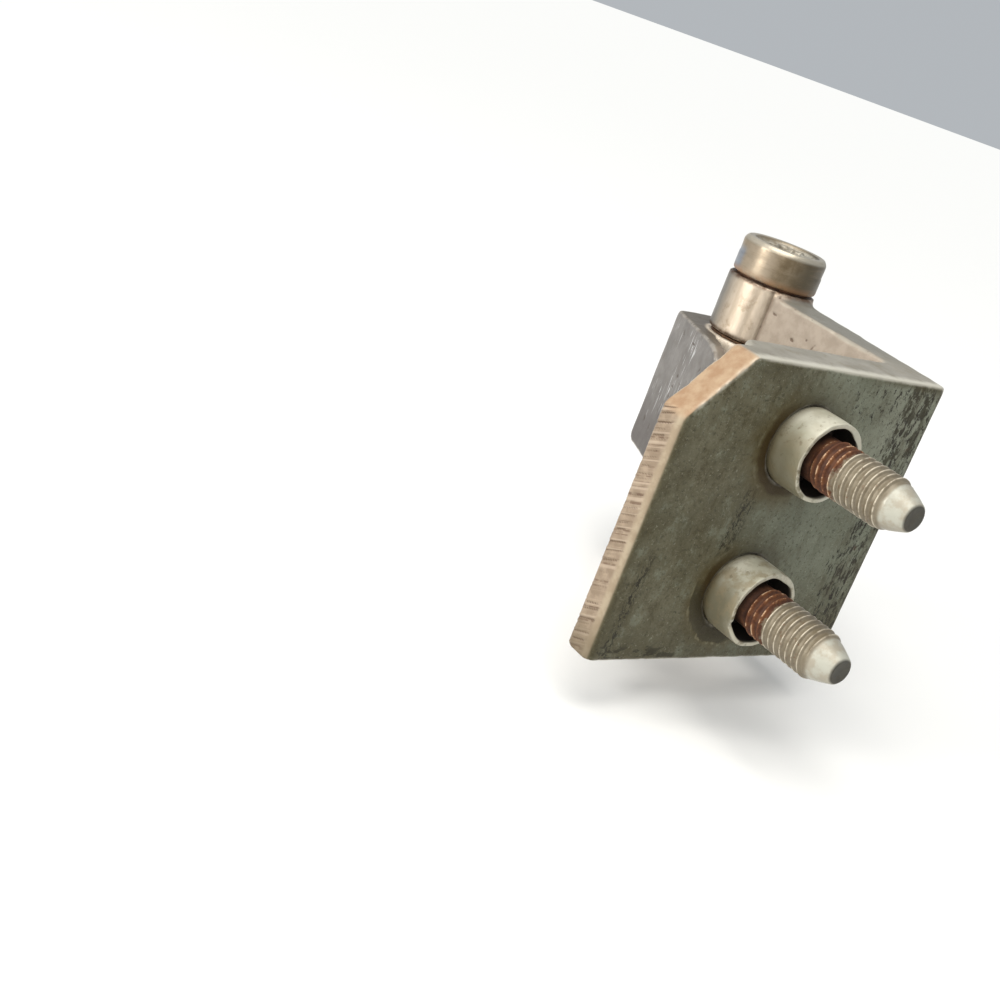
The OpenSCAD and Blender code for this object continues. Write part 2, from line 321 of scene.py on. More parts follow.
class Surface:
    """Builds one material's nodes. Its methods return output sockets; positions are in millimetres."""

    def __init__(self, name):
        self.material = bpy.data.materials.new(name)
        self.material.use_nodes = True
        self.nodes = self.material.node_tree.nodes
        self.links = self.material.node_tree.links
        self.shader = self.nodes["Principled BSDF"]
        metres = self.nodes.new("ShaderNodeTexCoord").outputs["Object"]
        scale = self.nodes.new("ShaderNodeVectorMath")
        scale.operation = "SCALE"
        scale.inputs["Scale"].default_value = 1 / MM
        self.links.new(metres, scale.inputs[0])
        self.place = scale.outputs[0]
        split = self.nodes.new("ShaderNodeSeparateXYZ")
        self.links.new(self.place, split.inputs[0])
        self.x, self.y, self.z = split.outputs

    def put(self, socket, value):
        if isinstance(value, bpy.types.NodeSocket):
            self.links.new(value, socket)
        else:
            socket.default_value = value

    def math(self, operation, a, b=0.0, clamp=False):
        node = self.nodes.new("ShaderNodeMath")
        node.operation = operation
        node.use_clamp = clamp
        self.put(node.inputs[0], a)
        self.put(node.inputs[1], b)
        return node.outputs[0]

    def add(self, *values):
        total = values[0]
        for value in values[1:]:
            total = self.math("ADD", total, value)
        return total

    def times(self, *values):
        total = values[0]
        for value in values[1:]:
            total = self.math("MULTIPLY", total, value)
        return total

    def highest(self, *values):
        top = values[0]
        for value in values[1:]:
            top = self.math("MAXIMUM", top, value)
        return top

    def less(self, value):
        """One minus the value."""
        return self.math("SUBTRACT", 1.0, value)

    def band(self, value, low, high):
        """0 at low and 1 at high, smooth between them."""
        node = self.nodes.new("ShaderNodeMapRange")
        node.interpolation_type = "SMOOTHSTEP"
        self.put(node.inputs["Value"], value)
        self.put(node.inputs["From Min"], low)
        self.put(node.inputs["From Max"], high)
        return node.outputs["Result"]

    def within(self, value, low, high, soft):
        """1 from low to high, falling to 0 over a width of soft outside them."""
        return self.times(self.band(value, low - soft, low), self.band(value, high + soft, high))

    def mix(self, amount, first, second):
        node = self.nodes.new("ShaderNodeMix")
        node.data_type = "RGBA"
        self.put(node.inputs["Factor"], amount)
        self.put(node.inputs[6], first)
        self.put(node.inputs[7], second)
        return node.outputs[2]

    def tint(self, colour, rgb, *amounts):
        """The colour moved towards a display colour by the product of the amounts."""
        return self.mix(self.times(*amounts), colour, srgb(*rgb))

    def tone(self, value, low, high, first, second):
        """The first display colour where value is below low, and the second above high."""
        return self.mix(self.band(value, low, high), srgb(*first), srgb(*second))

    def swing(self, value, span):
        """A value from 0 to 1 as one from minus to plus half the span."""
        return self.times(self.math("SUBTRACT", value, 0.5), span)

    def blend(self, amount, first, second):
        """A number part of the way from first to second."""
        node = self.nodes.new("ShaderNodeMix")
        self.put(node.inputs["Factor"], amount)
        self.put(node.inputs[2], first)
        self.put(node.inputs[3], second)
        return node.outputs[0]

    def stretched(self, stretch, offset):
        node = self.nodes.new("ShaderNodeVectorMath")
        node.operation = "MULTIPLY_ADD"
        self.links.new(self.place, node.inputs[0])
        node.inputs[1].default_value = [1 / s for s in stretch]
        node.inputs[2].default_value = (offset, offset * 0.7, offset * 1.3)
        return node.outputs[0]

    def noise(self, size, detail=4.0, rough=0.6, stretch=(1, 1, 1), seed=0.0, twist=0.0):
        """Noise from 0 to 1 with features of that size, drawn out along each axis by stretch."""
        node = self.nodes.new("ShaderNodeTexNoise")
        self.links.new(self.stretched([size * s for s in stretch], seed), node.inputs["Vector"])
        node.inputs["Scale"].default_value = 1.0
        node.inputs["Detail"].default_value = detail
        node.inputs["Roughness"].default_value = rough
        node.inputs["Distortion"].default_value = twist
        return node.outputs["Fac"]

    def lines(self, across, size, seed):
        """Noise from 0 to 1 that changes only with across, so that it draws straight lines."""
        node = self.nodes.new("ShaderNodeTexNoise")
        node.noise_dimensions = "1D"
        self.put(node.inputs["W"], self.add(self.times(across, 1 / size), seed))
        node.inputs["Scale"].default_value = 1.0
        node.inputs["Detail"].default_value = 4.0
        node.inputs["Roughness"].default_value = 0.6
        return node.outputs["Fac"]

    def ring_distance(self, first, first_centre, second, second_centre):
        """Distance in millimetres from an axis that crosses two coordinates at those values."""
        a = self.math("SUBTRACT", first, first_centre)
        b = self.math("SUBTRACT", second, second_centre)
        return self.math("SQRT", self.add(self.times(a, a), self.times(b, b)))

    def pin_distance(self):
        return self.ring_distance(self.x, PIN_X, self.y, PIN_Y)

    def turned(self):
        """The angle round the pin in radians: 0 towards -X, growing towards -Y, from -pi to pi."""
        forward = self.math("SUBTRACT", PIN_Y, self.y)
        leftward = self.math("SUBTRACT", PIN_X, self.x)
        return self.math("ARCTAN2", forward, leftward)

    def kept(self, name):
        """A number stored on the mesh's vertices."""
        node = self.nodes.new("ShaderNodeAttribute")
        node.attribute_name = name
        return node.outputs["Fac"]

    def scratches(self, direction, size, seed, amount):
        """Fine lines along one axis, from 0 to 1, covering more as amount grows towards 1."""
        stretch = [14.0 if axis == direction else 1.0 for axis in "xyz"]
        lines = self.noise(size, 2.0, 0.6, stretch, seed, 0.4)
        patches = self.noise(size * 18, 2.0, 0.5, seed=seed + 3)
        return self.times(self.band(lines, 0.74 - 0.14 * amount, 0.82 - 0.14 * amount),
                          self.band(patches, 0.45, 0.6))

    def finish(self, colour, roughness, metallic, height=None, depth=0.1):
        """Connects the shader; depth is the bump's height in millimetres for a change of 1."""
        self.put(self.shader.inputs["Base Color"], colour)
        self.put(self.shader.inputs["Roughness"], roughness)
        self.put(self.shader.inputs["Metallic"], metallic)
        if height is not None:
            bump = self.nodes.new("ShaderNodeBump")
            bump.inputs["Distance"].default_value = depth * MM
            self.links.new(height, bump.inputs["Height"])
            self.links.new(bump.outputs["Normal"], self.shader.inputs["Normal"])
        return self.material


def body_material():
    """Grey phosphate on the mounting face, worn beige paint elsewhere, bare metal on the knuckles."""
    s = Surface("forged_body")
    s.shader.inputs["Specular IOR Level"].default_value = 0.3
    front = s.kept("front")
    sawn = s.kept("sawn")
    knuckle = s.kept("knuckle")
    web = s.kept("web")
    edge = s.kept("edge")
    hollow = s.kept("hollow")
    grain = s.noise(0.35, 4.0, 0.65, seed=1)
    clouds = s.noise(9.0, seed=2)
    patches = s.noise(3.0, 5.0, 0.62, seed=3)
    streaks = s.noise(1.3, stretch=(1, 1, 5), seed=4)

    # The mounting face: green-grey, with stains, dark specks and rings of dirt round the sleeves.
    cool = s.tone(clouds, 0.35, 0.68, (104, 107, 90), (120, 123, 106))
    warm = s.tone(clouds, 0.35, 0.68, (80, 76, 56), (97, 93, 73))
    leftwards = s.band(s.add(s.x, s.times(patches, 16.0)), 16.0, -6.0)
    downwards = s.band(s.add(s.z, s.times(patches, 16.0)), 2.0, -16.0)
    face = s.mix(s.highest(leftwards, s.times(downwards, 0.8)), cool, warm)
    top_right = s.times(s.band(s.x, 10.0, 24.0), s.band(s.z, 0.0, 18.0))
    face = s.tint(face, (132, 134, 118), top_right, 0.6)
    mottle = s.noise(3.6, 8.0, 0.74, (0.9, 1, 1.2), seed=5)
    stained = s.blend(s.highest(leftwards, downwards), 0.3, 0.8)
    face = s.tint(face, (68, 61, 38), s.band(mottle, 0.5, 0.66), stained)
    face = s.tint(face, (124, 128, 111), s.band(mottle, 0.48, 0.36), 0.4)
    face = s.tint(face, (84, 77, 54), s.band(streaks, 0.55, 0.75), 0.3)
    face = s.tint(face, (152, 152, 136), s.band(grain, 0.55, 0.8), 0.5)
    face = s.tint(face, (74, 68, 46), s.band(grain, 0.45, 0.25), 0.5)
    pepper = s.band(s.noise(0.8, 6.0, 0.74, seed=7), 0.56, 0.6)
    face = s.tint(face, (58, 55, 37), pepper, s.blend(patches, 0.2, 0.95))
    flecks = s.band(s.noise(0.6, 4.0, 0.7, seed=16), 0.62, 0.66)
    face = s.tint(face, (150, 148, 128), flecks, s.blend(clouds, 0.6, 0.2))
    right_side = s.within(s.x, 26.0, 33.0, 7.0)
    leaning = s.math("SUBTRACT", s.x, s.times(s.z, 0.1))
    left_line = s.times(s.within(leaning, -24.9, -24.0, 1.1), s.band(s.z, -4.0, -14.0))
    middle_line = s.times(s.within(leaning, -8.6, -6.8, 1.4), s.within(s.z, -6.0, 5.0, 3.0))
    top_line = s.times(s.within(s.z, 22.0, 27.0, 3.0), s.band(s.x, 0.0, 16.0))
    speck_area = s.highest(right_side, s.times(top_line, 0.7))
    speck_noise = s.noise(1.0, 7.0, 0.75, (0.8, 1, 2.2), seed=6, twist=0.3)
    speck_level = s.blend(speck_area, 0.67, 0.52)
    specks = s.band(speck_noise, speck_level, s.add(speck_level, 0.025))
    face = s.tint(face, (34, 28, 15), specks, 0.95)
    smear = s.times(speck_area, s.band(s.noise(2.6, stretch=(1, 1, 2.2), seed=8), 0.42, 0.62))
    face = s.tint(face, (74, 68, 48), smear, 0.45)
    blots = s.band(s.noise(3.0, 6.0, 0.66, (0.8, 1, 1.3), seed=9), 0.52, 0.56)
    blot_area = s.times(s.within(s.x, 24.5, 30.0, 2.0), s.band(s.z, -2.0, 6.0))
    face = s.tint(face, (54, 50, 32), blots, blot_area, 0.9)
    line_specks = s.band(s.noise(0.8, 6.0, 0.74, (0.8, 1, 1.5), seed=10), 0.5, 0.54)
    line_specks = s.times(line_specks, s.highest(left_line, middle_line))
    face = s.tint(face, (32, 28, 15), line_specks, 0.9)
    low_blots = s.band(s.noise(1.9, 6.0, 0.7, (1.5, 1, 0.8), seed=11), 0.53, 0.58)
    low_blots = s.times(low_blots, s.band(s.z, -25.5, -28.0), s.band(s.x, 4.0, -16.0))
    face = s.tint(face, (40, 36, 20), low_blots, 0.8)
    by_edge = s.highest(s.times(s.band(s.z, 28.0, 29.3), s.band(s.x, 4.0, 20.0)),
                        s.band(s.x, 32.0, 33.2), s.times(s.band(s.x, -28.6, -30.0), 0.8))
    face = s.tint(face, (70, 64, 42), by_edge, s.band(patches, 0.3, 0.5), 0.7)
    for z in BOLT_HEIGHTS.values():
        radius = s.ring_distance(s.x, 0.0, s.z, z)
        wobble = s.add(radius, s.swing(patches, 5.0))
        left = s.band(s.add(s.times(s.x, -0.75), s.times(s.math("SUBTRACT", s.z, z), -0.5)), -3.0, 6.0)
        halo = s.times(s.band(wobble, 15.0, 9.5), s.blend(left, 0.25, 0.85))
        face = s.tint(face, (76, 65, 35), halo)
        crust = s.add(radius, s.swing(patches, 2.4))
        near = s.times(s.band(crust, 10.6, 9.6), s.blend(left, 0.2, 1.0))
        face = s.tint(face, (54, 40, 8), near, 0.92)
        outline = s.times(s.within(crust, 10.8, 11.0, 0.3), left, s.band(patches, 0.45, 0.6))
        face = s.tint(face, (140, 136, 114), outline, 0.3)
        face = s.tint(face, (40, 32, 18), s.band(radius, 8.6, 7.9), 0.9)

    low_left = s.add(s.times(s.x, -0.6), s.times(s.z, -0.8))
    crust_edge = s.add(s.ring_distance(s.x, 0.0, s.z, BOLT_HEIGHTS["lower"]), s.times(patches, 1.5),
                       s.times(mottle, 1.6))
    crescent = s.times(s.band(crust_edge, 13.1, 12.6), s.band(low_left, 16.0, 19.5))
    face = s.tint(face, (54, 49, 30), crescent, 0.8)
    gilt = s.times(s.within(crust_edge, 13.0, 13.2, 0.3), s.band(low_left, 17.0, 20.0))
    face = s.tint(face, (136, 129, 102), gilt, s.band(streaks, 0.42, 0.56), 0.45)

    # Painted sides: warm grey-beige, paler along the plate's top by the front edge and pinker on the
    # web.
    paint = s.tone(clouds, 0.36, 0.66, (138, 133, 121), (156, 151, 140))
    paint = s.tint(paint, (128, 120, 102), s.band(patches, 0.5, 0.68), 0.5)
    paint = s.tint(paint, (176, 172, 160), s.band(grain, 0.5, 0.8), 0.35)
    # Paler along the plate's top within a few millimetres of the front edge.
    pale_top_strip = s.times(s.band(s.add(s.y, s.times(patches, 2.0)), 4.0, 2.0), s.band(s.z, 29.0, 29.6))
    paint = s.tint(paint, (206, 202, 188), pale_top_strip, 0.75)
    arm_top = s.times(s.band(s.y, 8.0, 20.0), s.band(s.z, 28.0, 29.5))
    paint = s.tint(paint, (120, 118, 110), arm_top, 0.7)
    webbing = s.tone(patches, 0.35, 0.65, (148, 134, 119), (166, 152, 137))
    paint = s.mix(s.times(web, 0.85), paint, webbing)
    saw = s.tone(s.noise(2.4, seed=13), 0.38, 0.62, (132, 115, 96), (150, 133, 113))
    across_cut = s.add(s.z, s.times(s.y, SAW_LEAN))
    strokes = s.lines(across_cut, 0.9, 12)
    broken = s.band(s.noise(1.6, seed=18), 0.4, 0.56)
    saw = s.tint(saw, (98, 76, 60), s.band(strokes, 0.58, 0.62), broken, 0.8)
    saw = s.tint(saw, (180, 163, 144), s.band(strokes, 0.44, 0.4), 0.5)
    smooth_band = s.band(s.add(s.y, s.times(patches, 0.8)), 2.8, 1.8)
    saw = s.mix(smooth_band, saw, s.tone(patches, 0.4, 0.6, (146, 130, 108), (160, 146, 124)))
    saw = s.tint(saw, (104, 92, 72), s.band(s.z, -20.0, -29.0), 0.7)
    corner = s.tone(patches, 0.35, 0.65, (156, 126, 98), (174, 150, 122))
    saw = s.mix(s.band(s.z, 16.5, 18.5), saw, corner)
    paint = s.mix(sawn, paint, saw)

    metal = s.tone(s.noise(2.2, stretch=(1, 1, 4), seed=14), 0.35, 0.65, (180, 165, 146),
                   (198, 184, 166))
    stain = s.times(s.band(s.noise(2.8, 5.0, 0.65, seed=15), 0.52, 0.7), 0.5)
    metal = s.tint(metal, (132, 112, 88), stain)
    # Painted shade: the knuckle's metal is darker on its side turned from -X towards +Y.
    metal = s.tint(metal, (94, 92, 87), s.band(s.turned(), 0.1, -0.55), 0.9)
    colour = s.mix(knuckle, paint, metal)
    colour = s.mix(front, colour, face)

    # Bright worn edges, painted shade in the inner corners, dirt in the hollows, and rust in the gap
    # under the pin's head.
    left_edge = s.band(s.x, PLATE_LEFT + 3.0, PLATE_LEFT + 1.5)
    worn = s.times(s.band(edge, 0.06, 0.22), s.band(s.noise(4.0, seed=17), 0.3, 0.62),
                   s.less(left_edge))
    colour = s.tint(colour, (198, 192, 176), worn, 0.65)
    # Painted shade: darker in the inner corners.
    colour = s.tint(colour, (104, 90, 70), s.band(edge, -0.03, -0.16), 0.5)
    colour = s.tint(colour, (84, 64, 48), s.band(hollow, 0.03, 0.16), 0.75)
    by_pin = s.times(s.band(s.pin_distance(), 11.0, 9.0),
                     s.highest(s.band(s.z, FORK_TOP - 1.1, FORK_TOP - 0.2),
                               s.within(s.z, SLOT_BOTTOM - 0.6, SLOT_TOP + 0.6, 0.8),
                               s.band(s.z, FORK_BOTTOM + 1.0, FORK_BOTTOM + 0.2)))
    rusty = s.band(s.noise(1.6, seed=19), 0.36, 0.6)
    colour = s.tint(colour, (88, 62, 42), by_pin, s.blend(rusty, 0.45, 0.95))

    roughness = s.blend(front, 0.5, 0.62)
    roughness = s.blend(knuckle, roughness, 0.4)
    roughness = s.add(roughness, s.swing(patches, 0.3))
    roughness = s.math("SUBTRACT", roughness, s.times(worn, 0.15))
    metallic = s.highest(s.times(knuckle, 0.55), s.times(worn, 0.5), 0.12)
    height = s.add(s.times(grain, 0.25), s.times(patches, 0.6), s.times(pepper, front, -0.25),
                   s.times(specks, front, -0.5), s.times(streaks, 0.15))
    return s.finish(colour, roughness, metallic, height, 0.12)


def door_material():
    """Purple-grey primer with scratches on the leg, torn cream paint by the barrel, dark front."""
    s = Surface("forged_door_leaf")
    edge = s.kept("edge")
    leg = s.kept("leg")
    barrel = s.kept("barrel")
    inside = s.kept("inside")
    grain = s.noise(0.4, 4.0, 0.65, seed=21)
    clouds = s.noise(7.0, seed=22)
    patches = s.noise(2.2, 5.0, 0.62, seed=23)
    paint = s.tone(clouds, 0.35, 0.68, (118, 108, 98), (136, 126, 115))
    paint = s.tint(paint, (132, 126, 110), s.band(patches, 0.5, 0.7), 0.45)
    leaf_top = s.band(s.z, BRACKET_TOP - 0.7, BRACKET_TOP - 0.2)
    paint = s.tint(paint, (94, 87, 77), leaf_top, 0.9)
    primer = s.tone(clouds, 0.35, 0.65, (98, 94, 90), (114, 110, 106))
    primer = s.tint(primer, (100, 92, 86), s.band(patches, 0.5, 0.7), 0.4)
    scratches = s.highest(s.scratches("z", 0.5, 25, 1.0), s.scratches("z", 0.8, 27, 0.7))
    scratches = s.times(scratches, leg)
    primer = s.tint(primer, (206, 206, 206), scratches, 0.9)
    primer = s.tint(primer, (80, 74, 70), s.band(s.z, 6.0, -10.0))
    lower = s.band(s.z, 4.0, -6.0)
    ragged = s.swing(s.noise(2.4, 5.0, 0.7, (1, 1, 1.6), seed=29), s.blend(lower, 0.6, 5.0))
    torn = s.add(s.kept("to_end"), s.times(lower, -2.2), ragged)
    bare = s.band(torn, 0.12, -0.12)
    cream = s.tone(patches, 0.4, 0.6, (214, 204, 188), (232, 224, 210))
    primer = s.mix(bare, primer, cream)
    lip = s.within(torn, 0.1, 0.5, 0.25)
    primer = s.tint(primer, (84, 74, 66), lip, 0.6)
    colour = s.mix(leg, paint, primer)
    dark = s.tone(patches, 0.35, 0.65, (70, 64, 46), (92, 86, 66))
    colour = s.mix(s.times(inside, 0.85), colour, dark)
    metal = s.tone(s.noise(1.8, stretch=(1, 1, 3), seed=31), 0.35, 0.65, (232, 220, 202),
                   (212, 198, 178))
    colour = s.mix(barrel, colour, metal)
    worn = s.times(s.band(edge, 0.05, 0.18), s.band(s.noise(3.0, seed=33), 0.32, 0.6))
    colour = s.tint(colour, (186, 180, 170), worn, 0.6)
    # Painted shade: darker in the inner corners.
    colour = s.tint(colour, (92, 76, 60), s.band(edge, -0.03, -0.15), 0.6)
    colour = s.tint(colour, (64, 52, 40), s.band(s.kept("hollow"), 0.03, 0.12), 0.8)
    roughness = s.add(s.blend(barrel, 0.46, 0.55), s.swing(patches, 0.3))
    metallic = s.highest(s.times(barrel, 0.15), s.times(worn, 0.5), 0.1)
    height = s.add(s.times(grain, 0.25), s.times(patches, 0.5), s.times(scratches, -0.15),
                   s.times(bare, leg, -0.8))
    return s.finish(colour, roughness, metallic, height, 0.1)


def pin_material():
    s = Surface("turned_pin")
    rings = s.noise(0.5, 3.0, 0.6, (6, 6, 0.5), seed=41)
    patches = s.noise(2.4, 5.0, 0.62, seed=42)
    grain = s.noise(0.3, 3.0, 0.6, seed=43)
    colour = s.tone(patches, 0.35, 0.65, (120, 105, 82), (142, 127, 104))
    # Painted light round the head, set by the angle round the pin.
    turned = s.turned()
    # A painted highlight on the side facing about -X.
    painted_highlight = s.times(s.within(turned, -0.12, 0.45, 0.35), s.blend(patches, 1.0, 0.7))
    colour = s.tint(colour, (154, 141, 123), painted_highlight, 0.95)
    # A painted cool reflection on the head's upper part, turned from -X towards +Y.
    painted_cool_reflection = s.times(s.within(turned, -1.1, -0.4, 0.25), s.band(s.z, 38.5, 36.5))
    colour = s.tint(colour, (126, 136, 150), painted_cool_reflection, 0.8)
    # Painted shade on the side facing -Y and +X.
    shaded = s.times(s.within(turned, 1.5, 2.8, 0.6), s.blend(patches, 0.6, 1.0))
    colour = s.tint(colour, (58, 54, 42), shaded, 0.9)
    radius = s.pin_distance()
    rim = s.times(s.band(s.z, 38.9, 39.7), s.band(radius, 7.0, 7.4))
    colour = s.tint(colour, (206, 198, 180), rim, 0.7)
    colour = s.tint(colour, (118, 100, 76), s.band(rings, 0.5, 0.7), 0.3)
    head_foot = s.times(s.band(s.z, 34.4, 32.7), s.band(s.z, 30.0, 31.0))
    stain = s.times(head_foot, s.band(s.noise(2.2, seed=45), 0.3, 0.55))
    colour = s.tint(colour, (138, 103, 70), stain, 0.8)
    in_recess = s.times(s.band(radius, 7.2, 6.6), s.band(s.z, 36.0, 36.5))
    colour = s.mix(s.times(in_recess, 0.7), colour,
                   s.tone(patches, 0.4, 0.62, (186, 182, 168), (132, 124, 108)))
    colour = s.tint(colour, (60, 48, 36), s.band(s.kept("hollow"), 0.5, 1.6), 0.8)
    dirty_tail = s.times(s.band(s.z, -36.0, -34.6), s.band(s.z, -30.0, -31.0),
                         s.band(s.noise(1.1, 5.0, 0.65, seed=47), 0.3, 0.5))
    colour = s.tint(colour, (104, 78, 54), dirty_tail, 0.9)
    roughness = s.add(0.26, s.times(patches, 0.2), s.times(s.highest(stain, dirty_tail), 0.3))
    metallic = s.blend(s.highest(stain, in_recess, dirty_tail), 0.65, 0.2)
    height = s.add(s.times(rings, 0.3), s.times(patches, 0.5), s.times(grain, 0.15),
                   s.times(dirty_tail, 0.8))
    return s.finish(colour, roughness, metallic, height, 0.08)


def sleeve_material():
    s = Surface("painted_sleeve")
    patches = s.noise(2.8, 5.0, 0.6, seed=51)
    grain = s.noise(0.35, 4.0, 0.65, seed=52)
    clouds = s.noise(6.0, 3.0, 0.5, seed=53)
    colour = s.tone(clouds, 0.36, 0.64, (178, 175, 156), (196, 193, 176))
    # Darker on the left and lower side: painted shade, with some dirt.
    low = s.band(s.add(s.times(s.x, -1.0), s.times(s.kept("side"), -4.5)), 1.5, 8.0)
    colour = s.tint(colour, (106, 99, 75), low, s.blend(patches, 0.7, 1.0))
    browned = s.times(s.band(patches, 0.42, 0.62), s.blend(s.band(s.z, -4.0, 4.0), 0.75, 0.25))
    colour = s.tint(colour, (142, 130, 104), browned)
    dirt = s.band(s.noise(1.3, 6.0, 0.7, seed=55), 0.56, 0.68)
    colour = s.tint(colour, (104, 90, 64), dirt, 0.55)
    foot = s.times(s.band(s.y, -1.8, -0.2), s.blend(patches, 0.5, 1.0))
    colour = s.tint(colour, (86, 74, 46), foot, 0.8)
    inner = s.kept("inner")
    # Painted shade inside the bore, darker further in from the rim.
    colour = s.tint(colour, (40, 33, 26), inner, s.band(s.y, -7.4, -6.2))
    rim = s.kept("rim")
    colour = s.tint(colour, (186, 181, 162), rim, s.band(s.noise(1.6, seed=57), 0.4, 0.55))
    roughness = s.add(0.42, s.swing(patches, 0.25), s.times(inner, 0.3))
    metallic = s.times(rim, 0.3)
    height = s.add(s.times(grain, 0.2), s.times(patches, 0.6), s.times(dirt, -0.3))
    return s.finish(colour, roughness, metallic, height, 0.08)


def bolt_material(rust_end):
    """Rust from the sleeve out to rust_end, then cream paint; both are lighter on the crests, part wear
    and part painted highlight, and darker in the roots, a painted shade.
    """
    s = Surface("painted_bolt")
    crest = s.kept("crest")
    patches = s.noise(1.6, 5.0, 0.65, seed=61)
    grain = s.noise(0.3, 4.0, 0.65, seed=62)
    paint = s.tone(patches, 0.36, 0.64, (118, 107, 88), (134, 124, 105))
    # Paint darker in the roots, a painted shade, and lighter on the crests, part wear and part painted
    # highlight.
    paint = s.tint(paint, (108, 98, 78), s.less(crest), 0.4)
    paint = s.tint(paint, (206, 196, 176), s.band(crest, 0.8, 0.98), s.band(patches, 0.35, 0.6), 0.8)
    rust = s.tone(patches, 0.38, 0.62, (86, 46, 20), (128, 78, 40))
    # Rust darker in the roots, a painted shade, and lighter on the crests, part wear and part painted
    # highlight.
    rust = s.tint(rust, (56, 30, 18), s.less(crest), 0.7)
    rust = s.tint(rust, (206, 176, 142), s.band(crest, 0.75, 1.0), s.band(patches, 0.5, 0.6), 0.75)
    ragged = s.add(s.y, s.swing(s.noise(1.8, seed=64), 3.0))
    rusted = s.times(s.band(ragged, rust_end - 0.3, rust_end + 0.3), s.band(s.y, 11.0, 9.0))
    colour = s.mix(rusted, paint, rust)
    chips = s.times(s.band(s.noise(0.9, 6.0, 0.7, seed=66), 0.6, 0.66),
                    s.band(s.y, BOLT_TIP + 5.0, BOLT_TIP + 6.5))
    colour = s.tint(colour, (116, 82, 56), chips, s.less(rusted), 0.7)
    # Darker inside the sleeve: grime and painted shade.
    grime_and_shade = s.band(s.y, -7.6, -5.0)
    colour = s.tint(colour, (40, 28, 20), grime_and_shade, rusted, 0.75)
    clean = s.times(s.band(s.y, BOLT_TIP + 4.6, BOLT_TIP + 3.8), s.blend(patches, 0.88, 1.0))
    cone_colour = s.tone(s.noise(2.6, seed=67), 0.4, 0.62, (178, 177, 164), (162, 155, 139))
    colour = s.mix(clean, colour, cone_colour)
    tip = s.times(s.kept("tip"), 0.9)
    colour = s.mix(tip, colour, s.tone(patches, 0.4, 0.6, (32, 29, 20), (48, 44, 33)))
    roughness = s.add(s.blend(rusted, 0.4, 0.72), s.swing(patches, 0.25), s.times(tip, 0.3))
    metallic = s.blend(rusted, 0.15, 0.05)
    height = s.add(s.times(grain, s.blend(rusted, 0.2, 0.7)), s.times(patches, 0.5),
                   s.times(chips, -0.4))
    return s.finish(colour, roughness, metallic, height, 0.08)


def simple_metal(name, light, dark, dirt, roughness, metallic, seed):
    """A worn metal of two tones with dirt in patches, for the small turned pieces."""
    s = Surface(name)
    patches = s.noise(1.8, 5.0, 0.65, seed=seed)
    grain = s.noise(0.35, 3.0, 0.6, seed=seed + 1)
    colour = s.tone(patches, 0.36, 0.64, dark, light)
    soiled = s.band(s.noise(1.2, 5.0, 0.7, seed=seed + 2), 0.5, 0.64)
    colour = s.tint(colour, dirt, soiled, 0.75)
    rough = s.add(roughness, s.times(patches, 0.2), s.times(soiled, 0.15))
    metal = s.times(s.less(s.times(soiled, 0.7)), metallic)
    height = s.add(s.times(grain, 0.25), s.times(patches, 0.5))
    return s.finish(colour, rough, metal, height, 0.06)


# ---------------- the forged leaves


def saw_marks(points, seed):
    """Depth of the cuts left across the plate's sawn edge, in millimetres."""
    rng = random.Random(seed)
    depth = np.zeros(len(points))
    height = -29.0
    while height < 28.0:
        middle = rng.uniform(3.9, 4.8)
        half = rng.uniform(0.7, 2.2)
        tilt = -SAW_LEAN + rng.uniform(-0.06, 0.06)
        width = rng.uniform(0.12, 0.2)
        deepest = 0.06 + 0.18 * rng.random() ** 2
        line = (points[:, 2] - height - tilt * (points[:, 1] - middle)) / width
        reach = smoothstep(np.abs(points[:, 1] - middle), half + 0.6, half - 0.3)
        depth += deepest * (np.exp(-line * line) - 0.4 * np.exp(-((line - 2.2) ** 2))) * reach
        height += rng.uniform(0.5, 1.7)
    return depth


def pits(points, size, threshold, deepest, seed):
    """Scattered pits as depths in millimetres: fewer as the threshold nears 1."""
    return deepest * smoothstep(noise_at(points, size, seed), threshold, threshold + 0.25)


